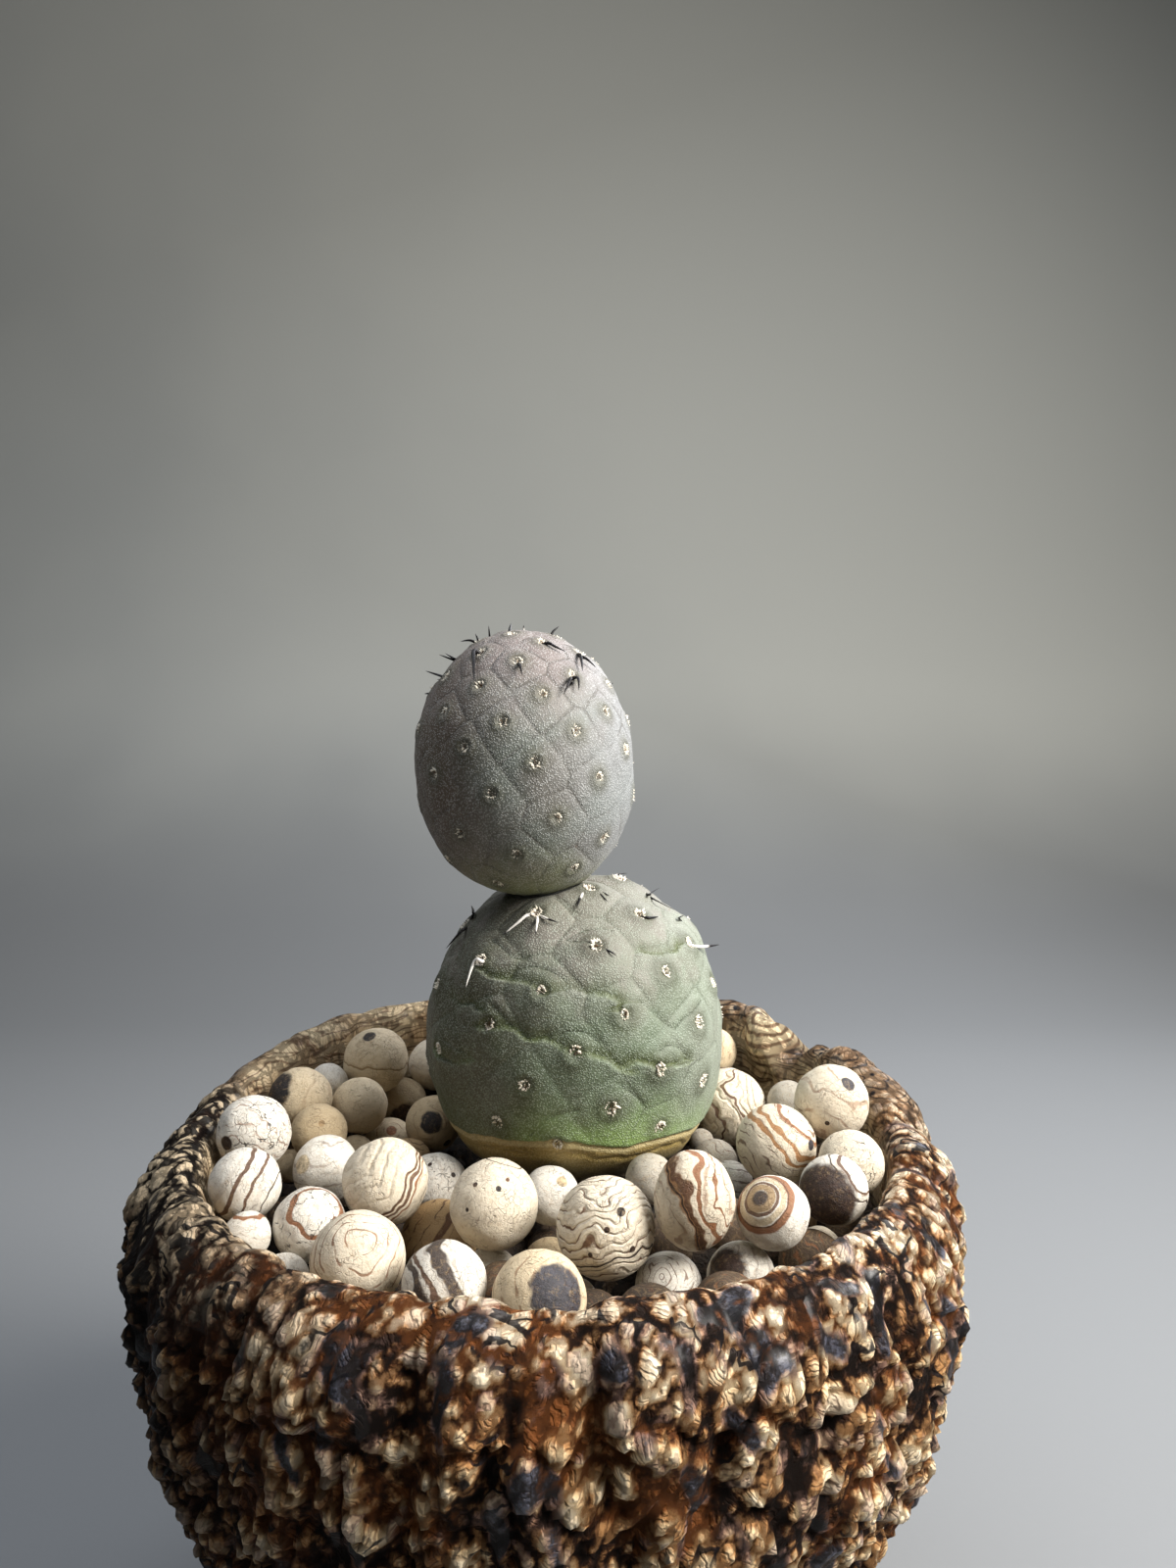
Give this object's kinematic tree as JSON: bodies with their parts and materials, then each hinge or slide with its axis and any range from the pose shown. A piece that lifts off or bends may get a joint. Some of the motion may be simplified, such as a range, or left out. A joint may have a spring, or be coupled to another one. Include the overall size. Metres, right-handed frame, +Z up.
{
  "type": "potted tephrocactus",
  "caption": "Round-segmented cactus, a smaller segment grown on a larger, in a rough bark-textured clay bowl dressed with marbled clay balls.",
  "frame": {"origin": "centre of the pot's foot, on the surface that it stands on", "axes": "+Z up along the pot's axis; the side seen in the picture faces -Y; +X is to the right in the picture"},
  "size_m": [0.1163, 0.1168, 0.1581],
  "materials": {
    "pot": "torn marbled clay, cream and brown with slate-blue patches, half gloss",
    "soil": "dark potting mix",
    "cactus_lower_segment": "velvety grey-green plant skin",
    "cactus_upper_segment": "velvety mauve and grey-green plant skin",
    "clay_ball": "matte marbled clay with brown bands"
  },
  "bodies": {
    "root": {"pot": "pot", "soil": "soil", "cactus_lower_segment": "cactus_lower_segment", "cactus_upper_segment": "cactus_upper_segment", "clay_ball_01": "clay_ball", "clay_ball_02": "clay_ball", "clay_ball_03": "clay_ball", "clay_ball_04": "clay_ball", "clay_ball_05": "clay_ball", "clay_ball_06": "clay_ball", "clay_ball_07": "clay_ball", "clay_ball_08": "clay_ball", "clay_ball_09": "clay_ball", "clay_ball_10": "clay_ball", "clay_ball_11": "clay_ball", "clay_ball_12": "clay_ball", "clay_ball_13": "clay_ball", "clay_ball_14": "clay_ball", "clay_ball_15": "clay_ball", "clay_ball_16": "clay_ball", "clay_ball_17": "clay_ball", "clay_ball_18": "clay_ball", "clay_ball_19": "clay_ball", "clay_ball_20": "clay_ball", "clay_ball_21": "clay_ball", "clay_ball_22": "clay_ball", "clay_ball_23": "clay_ball", "clay_ball_24": "clay_ball", "clay_ball_25": "clay_ball", "clay_ball_26": "clay_ball", "clay_ball_27": "clay_ball", "clay_ball_28": "clay_ball", "clay_ball_29": "clay_ball", "clay_ball_30": "clay_ball", "clay_ball_31": "clay_ball", "clay_ball_32": "clay_ball", "clay_ball_33": "clay_ball", "clay_ball_34": "clay_ball", "clay_ball_35": "clay_ball", "clay_ball_36": "clay_ball", "clay_ball_37": "clay_ball", "clay_ball_38": "clay_ball", "clay_ball_39": "clay_ball", "clay_ball_40": "clay_ball", "clay_ball_41": "clay_ball", "clay_ball_42": "clay_ball", "clay_ball_43": "clay_ball", "clay_ball_44": "clay_ball", "clay_ball_45": "clay_ball", "clay_ball_46": "clay_ball", "clay_ball_47": "clay_ball", "clay_ball_48": "clay_ball", "clay_ball_49": "clay_ball", "clay_ball_50": "clay_ball", "clay_ball_51": "clay_ball", "clay_ball_52": "clay_ball", "clay_ball_53": "clay_ball", "clay_ball_54": "clay_ball", "clay_ball_55": "clay_ball", "clay_ball_56": "clay_ball"}
  },
  "joints": []
}
